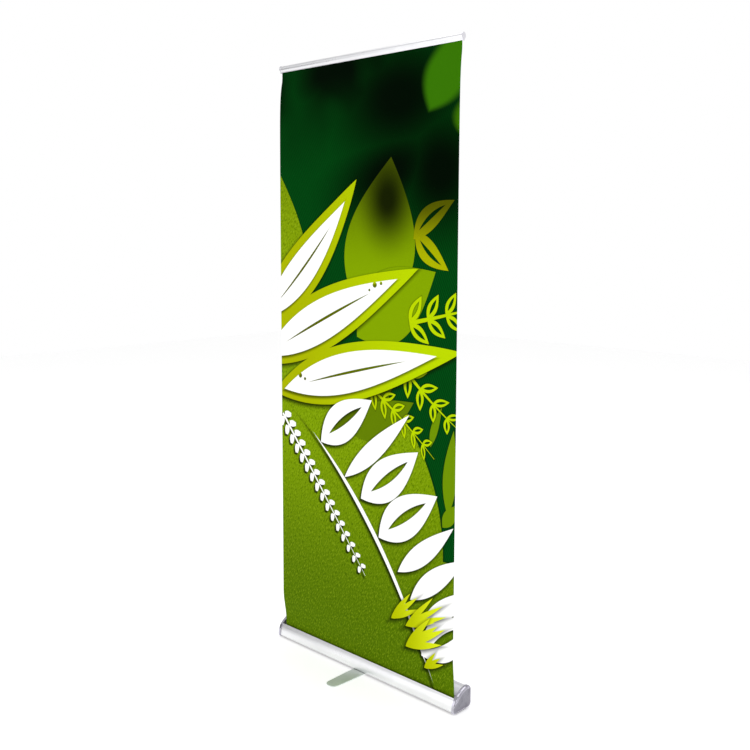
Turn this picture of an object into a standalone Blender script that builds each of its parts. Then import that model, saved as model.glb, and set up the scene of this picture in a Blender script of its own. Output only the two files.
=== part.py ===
"""Roll-up banner stand: a printed banner that rolls out of an aluminium base cassette, a clamping top rail,
a telescopic support pole behind the banner, and one long foot that swivels under the base.

X runs along the base, +Y is the rear, +Z is up. The origin is on the floor, on the foot's swivel axis.
"""

import math

import bmesh
import bpy
from mathutils import Matrix, Vector
from mathutils.geometry import interpolate_bezier

# Driving dimensions, in metres
GAP = 0.0003  # left between pieces that touch
BANNER_WIDTH = 0.800
BANNER_THICKNESS = 0.0005
BANNER_Y = -0.020  # the upright plane that the banner hangs in
RAIL_Z = 2.044  # bottom lips of the top rail

FLOOR_GAP = 0.006  # from the floor to the housing
HOUSING_WALL = 0.0016
HOUSING_HALF = 0.411
HOUSING_TOP = 0.0735
HOUSING_FRONT = -0.042
HOUSING_BACK = 0.040
FRONT_LIP = (-0.0285, 0.0475)
REAR_LIP = (-0.014, 0.0525)
LIP_BEAD_RADIUS = 0.0012
BOSS_CENTRES = ((-0.0362, 0.0125), (0.0322, 0.0130), (0.0302, 0.0656))
BOSS_RADIUS = 0.0050
BOSS_HOLE_RADIUS = 0.0019
SCREW_LENGTH = 0.020
SCREW_HEAD_RADIUS = 0.0034

PLATE_THICKNESS = 0.002
PLATE_START = HOUSING_HALF + GAP
CAP_START = 0.408  # where the chrome cap begins to cover the housing
CAP_RIM_END = 0.4155
CAP_PROUD = 0.0026  # how far the cap stands out round the housing
CAP_CAVITY_END = 0.4166
CAP_CENTRE = (-0.001, 0.038)  # the point that the cap's bevels shrink towards
# Each step out along X, and the size of its ring against the ring before it
CAP_BEVELS = ((0.0024, 0.980), (0.0022, 0.948), (0.0016, 0.900), (0.0008, 0.900))
PEG_PLACES = ((-0.0245, 0.0160), (0.0185, 0.0620))
PEG_RADIUS = 0.0020

ROLLER_Y = -0.0035
ROLLER_Z = 0.0355
TUBE_RADIUS = 0.015
TUBE_WALL = 0.0014
TUBE_HALF = 0.404
ROLL_RADIUS = 0.0159  # over the turns of banner left on the roller
ARBOR_RADIUS = 0.0038
ARBOR_END = -0.118
BUSH_RADIUS = 0.0055
BUSH_FLANGE_RADIUS = 0.0085
AXLE_PROUD = 0.0014  # how far the axle ends stand out past the end plates
SPRING_TURNS = 20
SPRING_RADIUS = 0.0078
SPRING_WIRE_RADIUS = 0.0008

POLE_Y = 0.027
POLE_WALL = 0.0009
# Outer radius, bottom and top of each pole section
LOWER_SECTION = (0.0080, 0.0125, 0.722)
MIDDLE_SECTION = (0.0067, 0.664, 1.392)
UPPER_SECTION = (0.0054, 1.334, 2.0455)
SOCKET_RADIUS = 0.0105
SOCKET_BOTTOM = 0.0082
SOCKET_TOP = 0.0790
COLLAR_LENGTH = 0.026
COLLAR_WALL = 0.0022
HEAD_RADIUS = 0.0076
HEAD_LENGTH = 0.028
TONGUE_HALF_WIDTH = 0.0042
TONGUE_FRONT = BANNER_Y + 0.0135
TONGUE_BACK = BANNER_Y + 0.0175
TONGUE_TOP = RAIL_Z + 0.0165
ARM_DEPTH = 0.006  # from its top to its bottom

FOOT_HALF_LENGTH = 0.182
FOOT_HALF_WIDTH = 0.0265
FOOT_SHOULDER_HALF_WIDTH = 0.0225  # where the rounded tip begins
FOOT_SHOULDER_Y = 0.150
FOOT_BOTTOM = 0.0012
FOOT_TOP = 0.0055
FOOT_BEVEL = 0.0012
FOOT_PAD_Y = 0.158
FOOT_PAD_RADIUS = 0.0080
FOOT_PAD_TOP = FOOT_BOTTOM + 0.001
PIVOT_RADIUS = 0.0040
PIVOT_HEAD_RADIUS = 0.0078
PIVOT_HEAD_HEIGHT = 0.0028
PIVOT_END = 0.0076  # above the housing's floor
WASHER_RADIUS = 0.0090
WASHER_TOP = 0.0016
NUT_RADIUS = 0.0075
NUT_TOP = 0.0064

RAIL_HALF = 0.402
RAIL_RADIUS = 0.0085  # of the rail's round top
RAIL_CENTRE_Z = 0.0140  # of the round top, above the lips
RAIL_SKIN = 0.0013
RAIL_LIP_OUT = 0.0019  # from the banner's plane to the outside of a lip
JAW_BEAD_RADIUS = 0.0013
JAW_HINGE_DEG = 45.0  # round the rail's top from +Y
JAW_SOCKET = (0.0016, 0.0028)  # inner and outer radius
RAIL_CAP_THICKNESS = 0.0030
RAIL_CAP_PROUD = 0.0014
BRACKET_HALF_WIDTH = 0.010
BRACKET_BACK = BANNER_Y + 0.0205

ROUND = 32  # sides of a round piece
SMALL_ROUND = 16

ALUMINIUM = ("brushed_aluminium", (0.80, 0.80, 0.82), 0.34, 1.0)
CHROME = ("chrome_plastic", (0.78, 0.78, 0.81), 0.12, 1.0)
PRINT = ("printed_banner", (0.10, 0.24, 0.02), 0.55, 0.0)
STEEL = ("zinc_steel", (0.62, 0.63, 0.64), 0.35, 1.0)
FOOT_METAL = ("satin_foot", (0.58, 0.62, 0.60), 0.38, 1.0)
BLACK = ("black_plastic", (0.02, 0.02, 0.022), 0.5, 0.0)
NYLON = ("white_nylon", (0.78, 0.77, 0.73), 0.45, 0.0)
RUBBER = ("black_rubber", (0.03, 0.03, 0.03), 0.85, 0.0)

SIDES = ((-1, "left"), (1, "right"))


def clear_scene():
    for obj in list(bpy.data.objects):
        bpy.data.objects.remove(obj)


def material_of(finish):
    name, colour, roughness, metallic = finish
    found = bpy.data.materials.get(name)
    if found:
        return found
    made = bpy.data.materials.new(name)
    made.use_nodes = True
    shader = made.node_tree.nodes["Principled BSDF"]
    shader.inputs["Base Color"].default_value = (*colour, 1.0)
    shader.inputs["Roughness"].default_value = roughness
    shader.inputs["Metallic"].default_value = metallic
    return made


def axis_empty(name, place):
    """A joint's axis: the pieces that move on it are parented here."""
    empty = bpy.data.objects.new(name, None)
    empty.location = place
    empty.empty_display_size = 0.03
    bpy.context.scene.collection.objects.link(empty)
    bpy.context.view_layer.update()
    return empty


def add_piece(name, bm, finish, parent=None):
    """Turns a bmesh in world coordinates into a named object, moved with its parent's joint axis."""
    obj = add_object(name, bm, parent)
    obj.data.materials.append(material_of(finish))
    obj.data.shade_smooth()
    obj.data.set_sharp_from_angle(angle=math.radians(35))
    return obj


def add_object(name, bm, parent=None):
    bmesh.ops.remove_doubles(bm, verts=bm.verts, dist=1e-6)
    bmesh.ops.recalc_face_normals(bm, faces=bm.faces)
    if parent:
        bm.transform(Matrix.Translation(-parent.matrix_world.translation))
    mesh = bpy.data.meshes.new(name)
    bm.to_mesh(mesh)
    bm.free()
    obj = bpy.data.objects.new(name, mesh)
    bpy.context.scene.collection.objects.link(obj)
    obj.parent = parent
    return obj


def combine(obj, operation, bm, name):
    """Joins a helper shape to obj, or cuts it away, with a Boolean modifier."""
    helper = add_object(f"{obj.name}_{name}", bm, obj.parent)
    helper.hide_render = True
    helper.display_type = "WIRE"
    modifier = obj.modifiers.new(name, "BOOLEAN")
    modifier.operation = operation
    modifier.solver = "EXACT"
    modifier.object = helper


# Outlines, as lists of (y, z) points


def bezier(start, first_handle, second_handle, end, steps):
    knots = [Vector((*point, 0.0)) for point in (start, first_handle, second_handle, end)]
    return [tuple(point[:2]) for point in interpolate_bezier(*knots, steps + 1)]


def arc(centre, radius, start_deg, end_deg, steps):
    step = math.radians(end_deg - start_deg) / steps
    angles = [math.radians(start_deg) + step * i for i in range(steps + 1)]
    return [(centre[0] + radius * math.cos(a), centre[1] + radius * math.sin(a)) for a in angles]


def joined(*runs):
    """The runs one after another, without the points that two runs share."""
    points = []
    for point in (p for run in runs for p in run):
        if not points or math.dist(point, points[-1]) > 1e-6:
            points.append(point)
    return points


def offset_path(points, distance, closed=False):
    """The path moved to its left by distance, with mitred corners."""
    moved = []
    last = len(points) - 1
    for i, point in enumerate(points):
        here = Vector(point)
        normals = []
        if closed or i > 0:
            normals.append((here - Vector(points[i - 1])).normalized().orthogonal())
        if closed or i < last:
            normals.append((Vector(points[(i + 1) % (last + 1)]) - here).normalized().orthogonal())
        middle = (normals[0] + normals[-1]).normalized()
        moved.append(tuple(here + middle * distance / max(0.5, middle.dot(normals[0]))))
    return moved


def strip(path, thickness):
    """The closed outline of a wall that lies on the left of a path."""
    return path + offset_path(path, thickness)[::-1]


# Solids


def prism(outline, x_start, x_end):
    """A (y, z) outline drawn out along X."""
    bm = bmesh.new()
    face = bm.faces.new([bm.verts.new((x_start, y, z)) for y, z in outline])
    drawn = bmesh.ops.extrude_face_region(bm, geom=[face])
    ring = [v for v in drawn["geom"] if isinstance(v, bmesh.types.BMVert)]
    bmesh.ops.translate(bm, verts=ring, vec=(x_end - x_start, 0, 0))
    return bm


def turned(profile, centre, axis="X", sides=ROUND):
    """A closed profile of (along, radius) points turned about an axis along X or Z through centre."""
    bm = bmesh.new()
    if axis == "X":
        ring = [bm.verts.new((along, 0.0, radius)) for along, radius in profile]
        direction = (1, 0, 0)
    else:
        ring = [bm.verts.new((radius, 0.0, along)) for along, radius in profile]
        direction = (0, 0, 1)
    edges = [bm.edges.new((ring[i - 1], ring[i])) for i in range(len(ring))]
    bmesh.ops.spin(
        bm,
        geom=ring + edges,
        axis=direction,
        angle=math.tau,
        steps=sides,
        use_merge=True,
    )
    bmesh.ops.remove_doubles(bm, verts=bm.verts, dist=1e-6)
    on_axis = [edge for edge in bm.edges if not edge.link_faces]
    bmesh.ops.delete(bm, geom=on_axis, context="EDGES")
    bmesh.ops.translate(bm, verts=bm.verts, vec=centre)
    return bm


def sleeve(inner, outer, start, end):
    """The profile of a plain ring or tube."""
    return [(start, inner), (start, outer), (end, outer), (end, inner)]


def rods(places, radius, start, end, axis="X", sides=SMALL_ROUND):
    """Plain cylinders along X at (y, z) places, or along Z at (x, y) places."""
    bm = bmesh.new()
    turn = Matrix.Rotation(math.radians(90), 4, "Y") if axis == "X" else Matrix.Identity(4)
    for first, second in places:
        middle = (start + end) / 2
        place = (middle, first, second) if axis == "X" else (first, second, middle)
        bmesh.ops.create_cone(
            bm,
            cap_ends=True,
            segments=sides,
            radius1=radius,
            radius2=radius,
            depth=abs(end - start),
            matrix=Matrix.Translation(place) @ turn,
        )
    return bm


def block(low, high, bevel=0.0):
    bm = bmesh.new()
    size = Vector(high) - Vector(low)
    middle = (Vector(low) + Vector(high)) / 2
    bmesh.ops.create_cube(
        bm, size=1.0, matrix=Matrix.Translation(middle) @ Matrix.Diagonal((*size, 1.0))
    )
    if bevel:
        bmesh.ops.bevel(bm, geom=bm.edges[:], offset=bevel, segments=1, affect="EDGES")
    return bm


# The base cassette


def housing_path():
    """The housing's outer surface, from the front lip down, under and up the back to the rear lip."""
    floor_back = (0.026, FLOOR_GAP)
    shoulder_end = (0.023, HOUSING_TOP)
    return joined(
        bezier(FRONT_LIP, (-0.037, 0.040), (-0.0418, 0.022), (HOUSING_FRONT, 0.009), 8),
        arc((HOUSING_FRONT + 0.003, FLOOR_GAP + 0.003), 0.003, 180, 270, 3),
        bezier(floor_back, (0.036, FLOOR_GAP), (HOUSING_BACK, 0.011), (HOUSING_BACK, 0.020), 5),
        bezier((HOUSING_BACK, 0.053), (HOUSING_BACK, 0.067), (0.034, HOUSING_TOP), shoulder_end, 7),
        bezier(shoulder_end, (0.009, HOUSING_TOP), (-0.004, 0.065), REAR_LIP, 8),
    )


def make_housing():
    path = housing_path()
    walls = prism(strip(path, HOUSING_WALL), -HOUSING_HALF, HOUSING_HALF)
    housing = add_piece("base_housing", walls, ALUMINIUM)

    bosses = rods(BOSS_CENTRES, BOSS_RADIUS, -HOUSING_HALF, HOUSING_HALF)
    combine(housing, "UNION", bosses, "screw_bosses")
    inside_lips = offset_path(path, LIP_BEAD_RADIUS * 0.9)
    lip_centres = (inside_lips[0], inside_lips[-1])
    beads = rods(lip_centres, LIP_BEAD_RADIUS, -HOUSING_HALF, HOUSING_HALF, sides=10)
    combine(housing, "UNION", beads, "lip_beads")

    past_ends = HOUSING_HALF + 0.01
    screw_holes = rods(BOSS_CENTRES, BOSS_HOLE_RADIUS, -past_ends, past_ends, sides=10)
    combine(housing, "DIFFERENCE", screw_holes, "screw_holes")
    socket_hole = rods([(0, POLE_Y)], SOCKET_RADIUS + GAP, SOCKET_BOTTOM - GAP, 0.1, "Z", ROUND)
    combine(housing, "DIFFERENCE", socket_hole, "socket_hole")
    pivot_hole = rods([(0, 0)], PIVOT_RADIUS + GAP, 0, 0.012, "Z")
    combine(housing, "DIFFERENCE", pivot_hole, "pivot_hole")


def make_end_plate(side, label):
    plate_end = PLATE_START + PLATE_THICKNESS
    outline = prism(housing_path(), side * PLATE_START, side * plate_end)
    plate = add_piece(f"end_plate_{label}", outline, STEEL)
    through = (side * (PLATE_START - 0.002), side * (plate_end + 0.002))
    screw_holes = rods(BOSS_CENTRES, BOSS_HOLE_RADIUS + GAP, *through, sides=10)
    combine(plate, "DIFFERENCE", screw_holes, "screw_holes")
    peg_holes = rods(PEG_PLACES, PEG_RADIUS + GAP, *through, sides=10)
    combine(plate, "DIFFERENCE", peg_holes, "peg_holes")
    axle_hole = rods([(ROLLER_Y, ROLLER_Z)], BUSH_RADIUS + GAP, *through)
    combine(plate, "DIFFERENCE", axle_hole, "axle_hole")


def make_end_cap(side, label):
    """A hollow cap: a plain rim over the housing's end, then rounded bevels up to a flat outer face."""
    outline = offset_path(housing_path(), -CAP_PROUD, closed=True)
    bm = prism(outline, side * CAP_START, side * CAP_RIM_END)
    face = max(bm.faces, key=lambda f: side * f.calc_center_median().x)
    middle = Matrix.Translation((0, -CAP_CENTRE[0], -CAP_CENTRE[1]))
    for step, size in CAP_BEVELS:
        drawn = bmesh.ops.extrude_face_region(bm, geom=[face])["geom"]
        bmesh.ops.delete(bm, geom=[face], context="FACES_ONLY")
        face = next(f for f in drawn if isinstance(f, bmesh.types.BMFace))
        bmesh.ops.translate(bm, verts=face.verts[:], vec=(side * step, 0, 0))
        bmesh.ops.scale(bm, verts=face.verts[:], vec=(1, size, size), space=middle)
    cap = add_piece(f"end_cap_{label}", bm, CHROME)

    inside = offset_path(housing_path(), -GAP - 0.0001, closed=True)
    cavity = prism(inside, side * (CAP_START - 0.005), side * CAP_CAVITY_END)
    combine(cap, "DIFFERENCE", cavity, "cavity")
    peg_start = PLATE_START - 0.002
    pegs = rods(PEG_PLACES, PEG_RADIUS, side * peg_start, side * (CAP_CAVITY_END + 0.001), sides=10)
    combine(cap, "UNION", pegs, "pegs")


def make_end_screws(side, label):
    head_start = PLATE_START + PLATE_THICKNESS + GAP
    shank_radius = BOSS_HOLE_RADIUS - GAP
    profile = [
        (side * (head_start - SCREW_LENGTH), 0),
        (side * (head_start - SCREW_LENGTH + 0.002), shank_radius),
        (side * head_start, shank_radius),
        (side * head_start, SCREW_HEAD_RADIUS),
        (side * (head_start + 0.0010), 0.0032),
        (side * (head_start + 0.0020), 0.0020),
        (side * (head_start + 0.0020), 0),
    ]
    for i, (y, z) in enumerate(BOSS_CENTRES):
        screw = turned(profile, (0, y, z), sides=12)
        add_piece(f"end_screw_{label}_{i + 1}", screw, STEEL)


def make_base_pad(side, label):
    """A rubber strip under the end cap, which the base stands on."""
    inner = side * (CAP_START + 0.0008)
    outer = side * (CAP_RIM_END - 0.0008)
    pad_top = FLOOR_GAP - CAP_PROUD - GAP
    low = (min(inner, outer), -0.033, 0)
    high = (max(inner, outer), 0.024, pad_top)
    add_piece(f"base_pad_{label}", block(low, high, 0.0005), RUBBER)


def make_pole_socket():
    bore = LOWER_SECTION[0] + GAP
    floor = LOWER_SECTION[1] - GAP
    profile = [
        (SOCKET_BOTTOM, 0),
        (SOCKET_BOTTOM, SOCKET_RADIUS),
        (SOCKET_TOP - 0.0006, SOCKET_RADIUS),
        (SOCKET_TOP, SOCKET_RADIUS - 0.0006),
        (SOCKET_TOP, bore + 0.0005),
        (SOCKET_TOP - 0.0010, bore),
        (floor, bore),
        (floor, 0),
    ]
    add_piece("pole_socket", turned(profile, (0, POLE_Y, 0), "Z"), STEEL)


# The roller and its spring


def make_roller(axis):
    centre = (0, ROLLER_Y, ROLLER_Z)
    bore = TUBE_RADIUS - TUBE_WALL
    tube = sleeve(bore, TUBE_RADIUS, -TUBE_HALF, TUBE_HALF)
    add_piece("roller_tube", turned(tube, centre), ALUMINIUM, axis)
    half_banner = BANNER_WIDTH / 2
    roll = sleeve(TUBE_RADIUS + GAP, ROLL_RADIUS, -half_banner, half_banner)
    add_piece("banner_roll", turned(roll, centre), PRINT, axis)

    flange_end = TUBE_HALF + 0.003
    plug_bore = ARBOR_RADIUS + GAP
    plug = [
        (-flange_end, plug_bore),
        (-flange_end, TUBE_RADIUS - 0.0005),
        (-TUBE_HALF - GAP, TUBE_RADIUS - 0.0005),
        (-TUBE_HALF - GAP, bore - GAP),
        (-TUBE_HALF + 0.014, bore - GAP),
        (-TUBE_HALF + 0.014, plug_bore),
    ]
    add_piece("roller_plug_left", turned(plug, centre), NYLON, axis)
    axle_end = PLATE_START + PLATE_THICKNESS + AXLE_PROUD
    axle_plug = [
        (TUBE_HALF - 0.014, 0),
        (TUBE_HALF - 0.014, bore - GAP),
        (TUBE_HALF + GAP, bore - GAP),
        (TUBE_HALF + GAP, TUBE_RADIUS - 0.0005),
        (flange_end, TUBE_RADIUS - 0.0005),
        (flange_end, ARBOR_RADIUS),
        (axle_end - 0.0006, ARBOR_RADIUS),
        (axle_end, ARBOR_RADIUS - 0.0006),
        (axle_end, 0),
    ]
    add_piece("roller_plug_right", turned(axle_plug, centre), NYLON, axis)
    anchor = sleeve(plug_bore, bore - GAP, ARBOR_END - 0.016, ARBOR_END - 0.004)
    add_piece("spring_anchor", turned(anchor, centre), NYLON, axis)


def make_arbor():
    """The rod that stays still inside the roller, with a collar that holds the spring's fixed end."""
    centre = (0, ROLLER_Y, ROLLER_Z)
    start = -(PLATE_START + PLATE_THICKNESS + AXLE_PROUD)
    collar_start = -TUBE_HALF + 0.018
    profile = [
        (start, 0),
        (start + 0.0006, ARBOR_RADIUS),
        (collar_start, ARBOR_RADIUS),
        (collar_start, SPRING_RADIUS + SPRING_WIRE_RADIUS),
        (collar_start + 0.006, SPRING_RADIUS + SPRING_WIRE_RADIUS),
        (collar_start + 0.006, ARBOR_RADIUS),
        (ARBOR_END - 0.0006, ARBOR_RADIUS),
        (ARBOR_END, 0),
    ]
    add_piece("spring_arbor", turned(profile, centre), STEEL)
    return collar_start + 0.006


def make_spring(start):
    end = ARBOR_END - 0.016
    steps = SPRING_TURNS * 12
    curve = bpy.data.curves.new("torsion_spring", "CURVE")
    curve.dimensions = "3D"
    curve.bevel_depth = SPRING_WIRE_RADIUS
    curve.bevel_resolution = 0
    curve.use_fill_caps = True
    spline = curve.splines.new("POLY")
    spline.points.add(steps)
    margin = SPRING_WIRE_RADIUS + GAP
    for i, point in enumerate(spline.points):
        share = i / steps
        turn = math.tau * SPRING_TURNS * share
        x = start + margin + (end - start - 2 * margin) * share
        y = ROLLER_Y + SPRING_RADIUS * math.cos(turn)
        z = ROLLER_Z + SPRING_RADIUS * math.sin(turn)
        point.co = (x, y, z, 1)
    spring = bpy.data.objects.new("torsion_spring", curve)
    curve.materials.append(material_of(STEEL))
    bpy.context.scene.collection.objects.link(spring)


def make_bushes():
    """One flanged bush in each end plate: the arbor is held in the left one, the axle turns in the right."""
    inside = PLATE_START - 0.0026
    for side, label in SIDES:
        profile = [
            (side * inside, ARBOR_RADIUS + 0.0001),
            (side * inside, BUSH_FLANGE_RADIUS),
            (side * (PLATE_START - GAP), BUSH_FLANGE_RADIUS),
            (side * (PLATE_START - GAP), BUSH_RADIUS),
            (side * (PLATE_START + PLATE_THICKNESS + 0.001), BUSH_RADIUS),
            (side * (PLATE_START + PLATE_THICKNESS + 0.001), ARBOR_RADIUS + 0.0001),
        ]
        add_piece(f"axle_bush_{label}", turned(profile, (0, ROLLER_Y, ROLLER_Z)), BLACK)


# The foot


def foot_outline():
    """A blade with straight tapering sides and full rounded tips, as (x, y) points."""
    side = [(FOOT_HALF_WIDTH, 0.0), (FOOT_HALF_WIDTH - 0.0006, 0.045)]
    tip = bezier(
        (FOOT_SHOULDER_HALF_WIDTH, FOOT_SHOULDER_Y),
        (FOOT_SHOULDER_HALF_WIDTH - 0.0025, FOOT_SHOULDER_Y + 0.022),
        (0.013, FOOT_HALF_LENGTH),
        (0, FOOT_HALF_LENGTH),
        10,
    )
    quarter = side + tip
    back = quarter + [(-x, y) for x, y in quarter[-2::-1]]
    return back + [(x, -y) for x, y in back[-2:0:-1]]


def make_foot(axis):
    bm = bmesh.new()
    face = bm.faces.new([bm.verts.new((x, y, FOOT_BOTTOM)) for x, y in foot_outline()])
    drawn = bmesh.ops.extrude_face_region(bm, geom=[face])["geom"]
    top_verts = [v for v in drawn if isinstance(v, bmesh.types.BMVert)]
    bmesh.ops.translate(bm, verts=top_verts, vec=(0, 0, FOOT_TOP - FOOT_BOTTOM))
    top = next(f for f in drawn if isinstance(f, bmesh.types.BMFace))
    bmesh.ops.bevel(bm, geom=top.edges[:], offset=FOOT_BEVEL, segments=2, profile=0.5, affect="EDGES")
    foot = add_piece("foot_plate", bm, FOOT_METAL, axis)

    head_clearance = PIVOT_HEAD_RADIUS + 0.0004
    countersink = [
        (0, 0),
        (0, head_clearance),
        (FOOT_BOTTOM + GAP, head_clearance),
        (FOOT_BOTTOM + GAP + PIVOT_HEAD_HEIGHT, PIVOT_RADIUS + GAP),
        (FOOT_TOP + 0.002, PIVOT_RADIUS + GAP),
        (FOOT_TOP + 0.002, 0),
    ]
    combine(foot, "DIFFERENCE", turned(countersink, (0, 0, 0), "Z"), "countersink")
    pad_places = [(0, -FOOT_PAD_Y), (0, FOOT_PAD_Y)]
    recesses = rods(pad_places, FOOT_PAD_RADIUS + GAP, 0, FOOT_PAD_TOP, "Z", 24)
    combine(foot, "DIFFERENCE", recesses, "pad_recesses")
    for name, place in zip(("foot_pad_front", "foot_pad_back"), pad_places):
        pad = rods([place], FOOT_PAD_RADIUS, 0, FOOT_PAD_TOP - GAP, "Z", 24)
        add_piece(name, pad, RUBBER, axis)


def make_pivot():
    """A countersunk bolt up through the foot and the housing floor, with a washer and a nut inside."""
    floor = FLOOR_GAP + HOUSING_WALL
    head_bottom = FOOT_BOTTOM + GAP
    bolt = [
        (head_bottom, 0),
        (head_bottom, PIVOT_HEAD_RADIUS),
        (head_bottom + PIVOT_HEAD_HEIGHT, PIVOT_RADIUS),
        (floor + PIVOT_END - 0.0006, PIVOT_RADIUS),
        (floor + PIVOT_END, PIVOT_RADIUS - 0.0006),
        (floor + PIVOT_END, 0),
    ]
    add_piece("pivot_bolt", turned(bolt, (0, 0, 0), "Z"), STEEL)
    bore = PIVOT_RADIUS + GAP
    washer = sleeve(bore, WASHER_RADIUS, floor + GAP, floor + WASHER_TOP)
    add_piece("pivot_washer", turned(washer, (0, 0, 0), "Z"), STEEL)
    hexagon = rods([(0, 0)], NUT_RADIUS, floor + WASHER_TOP + GAP, floor + NUT_TOP, "Z", 6)
    nut = add_piece("pivot_nut", hexagon, STEEL)
    combine(nut, "DIFFERENCE", rods([(0, 0)], bore, 0, 0.03, "Z"), "thread_hole")


# The telescopic pole


def make_pole_section(name, section, parent=None):
    radius, bottom, top = section
    profile = sleeve(radius - POLE_WALL, radius, bottom, top)
    add_piece(name, turned(profile, (0, POLE_Y, 0), "Z", 24), ALUMINIUM, parent)


def make_collar(name, section, inner_section, parent=None):
    """A plastic collar over a section's top end, which guides the thinner section above it."""
    radius, _, top = section
    inner_radius = inner_section[0] + 0.0002
    outer = radius + COLLAR_WALL
    end = top + 0.004
    profile = [
        (top - COLLAR_LENGTH, radius + GAP),
        (top - COLLAR_LENGTH, outer - 0.0006),
        (top - COLLAR_LENGTH + 0.001, outer),
        (end - 0.001, outer),
        (end, outer - 0.001),
        (end, inner_radius),
        (top + GAP, inner_radius),
        (top + GAP, radius + GAP),
    ]
    add_piece(name, turned(profile, (0, POLE_Y, 0), "Z"), BLACK, parent)


def make_pole_head(parent):
    """A cap on the pole's top with an arm forward and an upturned tongue that the rail drops onto."""
    radius, _, top = UPPER_SECTION
    profile = [
        (top - HEAD_LENGTH, radius + GAP),
        (top - HEAD_LENGTH, HEAD_RADIUS),
        (top + 0.0030, HEAD_RADIUS),
        (top + 0.0042, HEAD_RADIUS - 0.0014),
        (top + 0.0042, 0),
        (top + GAP, 0),
        (top + GAP, radius + GAP),
    ]
    head = add_piece("pole_head", turned(profile, (0, POLE_Y, 0), "Z"), BLACK, parent)
    half = TONGUE_HALF_WIDTH
    arm_top = top - 0.007
    arm_bottom = arm_top - ARM_DEPTH
    arm = block((-half, TONGUE_FRONT, arm_bottom), (half, POLE_Y - radius - 0.001, arm_top))
    combine(head, "UNION", arm, "arm")
    tongue = block((-half, TONGUE_FRONT, arm_bottom + 0.0001), (half, TONGUE_BACK, TONGUE_TOP))
    combine(head, "UNION", tongue, "tongue")


# The top rail, as (y, z) paths about the banner's plane


def jaw_path(side, end_deg, steps):
    """The outer surface of one jaw, from its lip up to end_deg on the round top."""
    centre = (BANNER_Y, RAIL_Z + RAIL_CENTRE_Z)
    lip = bezier(
        (BANNER_Y + side * RAIL_LIP_OUT, RAIL_Z),
        (BANNER_Y + side * (RAIL_LIP_OUT + 0.0008), RAIL_Z + 0.0045),
        (BANNER_Y + side * RAIL_RADIUS, RAIL_Z + RAIL_CENTRE_Z - 0.0065),
        (BANNER_Y + side * RAIL_RADIUS, RAIL_Z + RAIL_CENTRE_Z),
        7,
    )
    start_deg = 0 if side > 0 else 180
    return joined(lip, arc(centre, RAIL_RADIUS, start_deg, end_deg, steps))


def jaw_hinge():
    reach = RAIL_RADIUS - RAIL_SKIN / 2
    angle = math.radians(JAW_HINGE_DEG)
    return (BANNER_Y + reach * math.cos(angle), RAIL_Z + RAIL_CENTRE_Z + reach * math.sin(angle))


def make_rail(rail_axis, jaw_axis):
    hinge = jaw_hinge()
    front = strip(jaw_path(-1, JAW_HINGE_DEG, 14), -RAIL_SKIN)
    jaw = add_piece("rail_front_jaw", prism(front, -RAIL_HALF, RAIL_HALF), ALUMINIUM, jaw_axis)
    bead = rods([hinge], JAW_BEAD_RADIUS, -RAIL_HALF, RAIL_HALF, sides=12)
    combine(jaw, "UNION", bead, "hinge_bead")

    rear = strip(jaw_path(1, JAW_HINGE_DEG - 17, 4), RAIL_SKIN)
    body = add_piece("rail_rear_jaw", prism(rear, -RAIL_HALF, RAIL_HALF), ALUMINIUM, rail_axis)
    inner, outer = JAW_SOCKET
    open_from = JAW_HINGE_DEG + 14
    open_to = JAW_HINGE_DEG + 126 - 360
    socket = arc(hinge, outer, open_from, open_to, 14) + arc(hinge, inner, open_to, open_from, 14)
    combine(body, "UNION", prism(socket, -RAIL_HALF, RAIL_HALF), "hinge_socket")


def make_rail_cap(side, label, rail_axis):
    whole = joined(jaw_path(-1, 90, 8), jaw_path(1, 90, 8)[::-1])
    outline = offset_path(whole, RAIL_CAP_PROUD, closed=True)
    start = RAIL_HALF + GAP
    bm = prism(outline, side * start, side * (start + RAIL_CAP_THICKNESS))
    edges = [e for e in bm.edges if all(abs(v.co.x) > start + 0.002 for v in e.verts)]
    bmesh.ops.bevel(bm, geom=edges, offset=0.0006, segments=1, affect="EDGES")
    cap = add_piece(f"rail_cap_{label}", bm, CHROME, rail_axis)
    peg_place = (BANNER_Y, RAIL_Z + RAIL_CENTRE_Z)
    peg = rods([peg_place], 0.0030, side * (start - 0.008), side * (start + 0.001), sides=12)
    combine(cap, "UNION", peg, "peg")


def make_rail_bracket(rail_axis):
    """A clip on the rail's back with a pocket for the pole head's tongue."""
    rail_back = offset_path(jaw_path(1, 4, 1), -GAP)
    contact = [(y, z) for y, z in rail_back if RAIL_Z + 0.004 < z < RAIL_Z + 0.0143]
    outline = contact + [(BRACKET_BACK, contact[-1][1]), (BRACKET_BACK, contact[0][1])]
    clip = prism(outline, -BRACKET_HALF_WIDTH, BRACKET_HALF_WIDTH)
    bracket = add_piece("rail_bracket", clip, BLACK, rail_axis)
    half = TONGUE_HALF_WIDTH + GAP
    pocket = block(
        (-half, TONGUE_FRONT - GAP, RAIL_Z), (half, TONGUE_BACK + GAP, RAIL_Z + 0.03)
    )
    combine(bracket, "DIFFERENCE", pocket, "pocket")


def make_banner():
    half = BANNER_WIDTH / 2
    low = (-half, BANNER_Y - BANNER_THICKNESS / 2, ROLLER_Z)
    high = (half, BANNER_Y + BANNER_THICKNESS / 2, RAIL_Z + 0.008)
    add_piece("banner_sheet", block(low, high), PRINT)


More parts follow.
